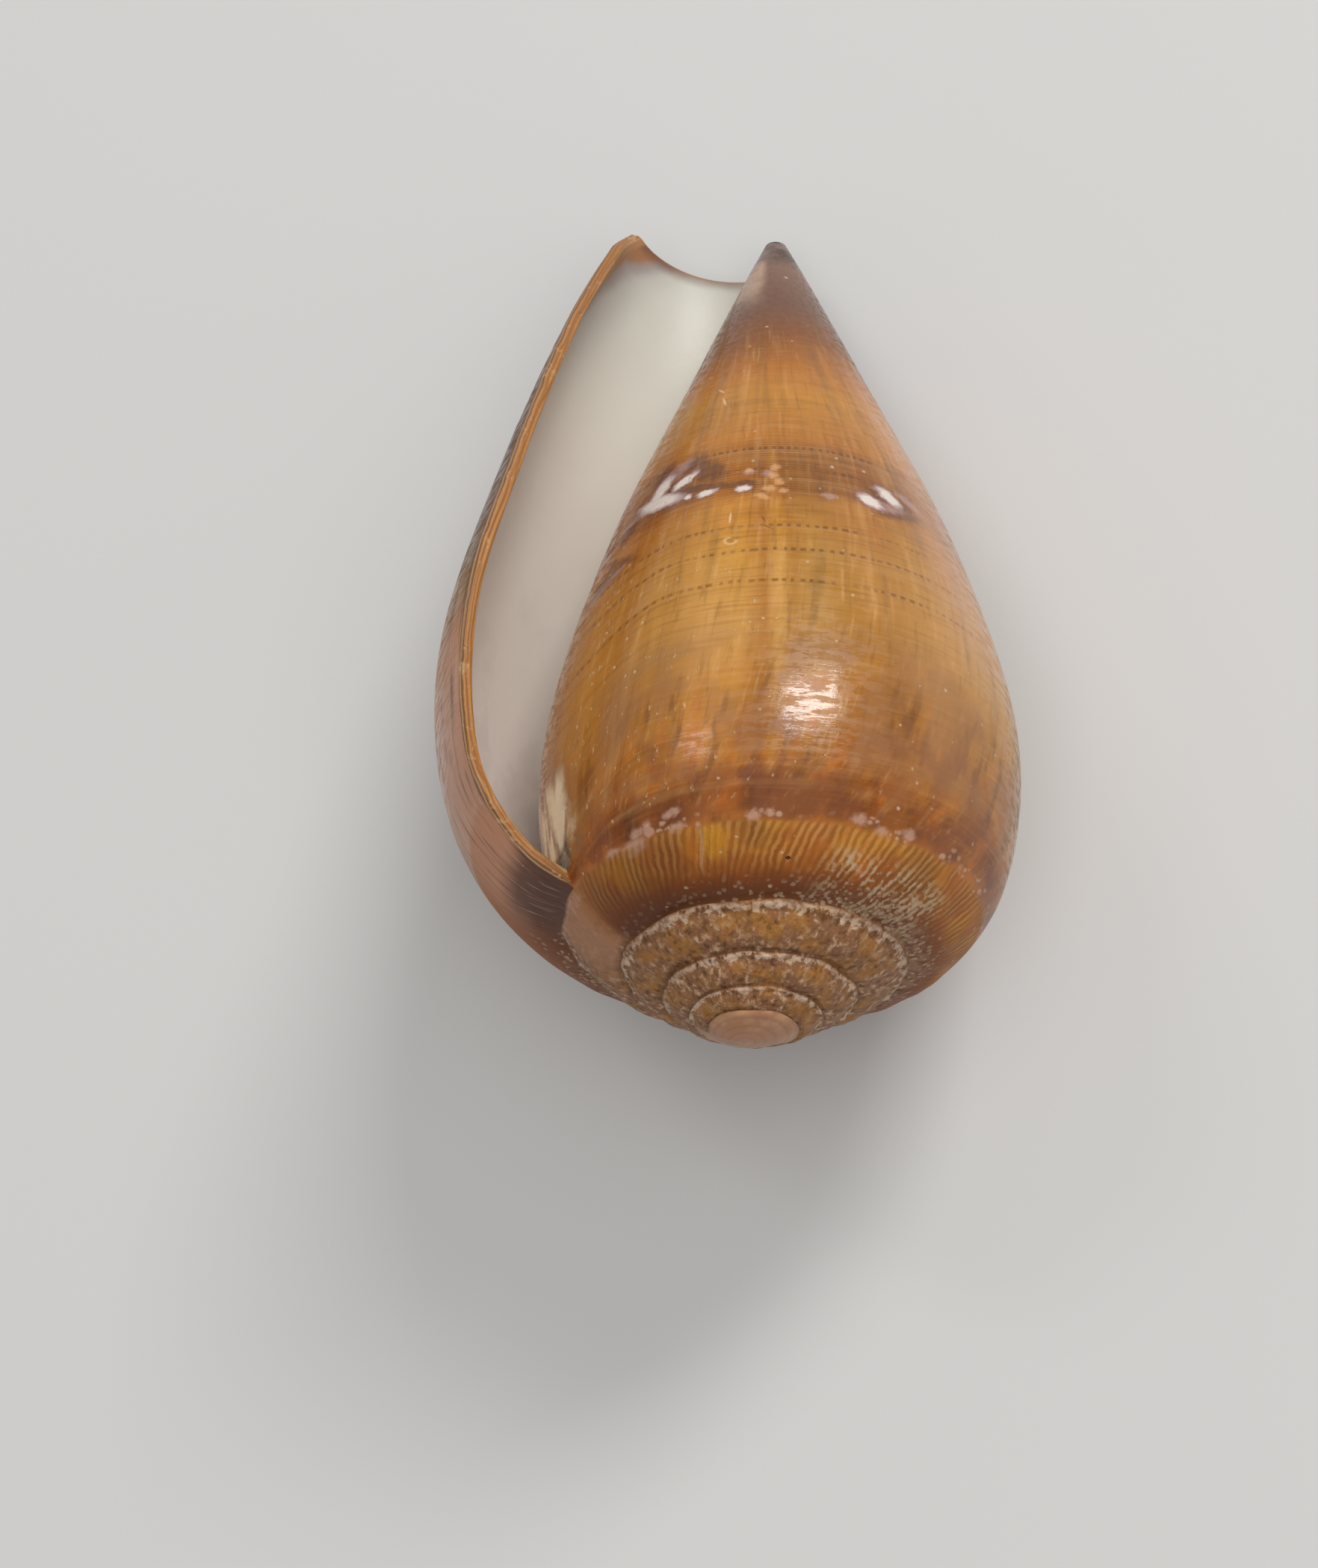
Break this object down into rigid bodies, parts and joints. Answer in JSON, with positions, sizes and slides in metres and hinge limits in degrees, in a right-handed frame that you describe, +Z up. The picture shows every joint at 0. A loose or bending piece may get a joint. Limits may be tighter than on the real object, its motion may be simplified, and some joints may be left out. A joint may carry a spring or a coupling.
{
  "type": "cone shell",
  "caption": "Conical sea snail shell with a low stepped spire, a long narrow opening and a notch at its tip, lying on its side.",
  "frame": {"origin": "the point on the ground below the middle of the shell's bounding box, as it lies", "axes": "+Z up from the ground; the shell's length runs along Y, with the spire's peak towards -Y and raised, and the tip towards +Y; the opening faces up and towards -X"},
  "size_m": [0.0348, 0.0564, 0.0332],
  "materials": {
    "shell": "polished outside in ochre and brown with a pale band, worn granular spire, white porcelain inside"
  },
  "bodies": {
    "root": {"shell": "shell"}
  },
  "joints": []
}
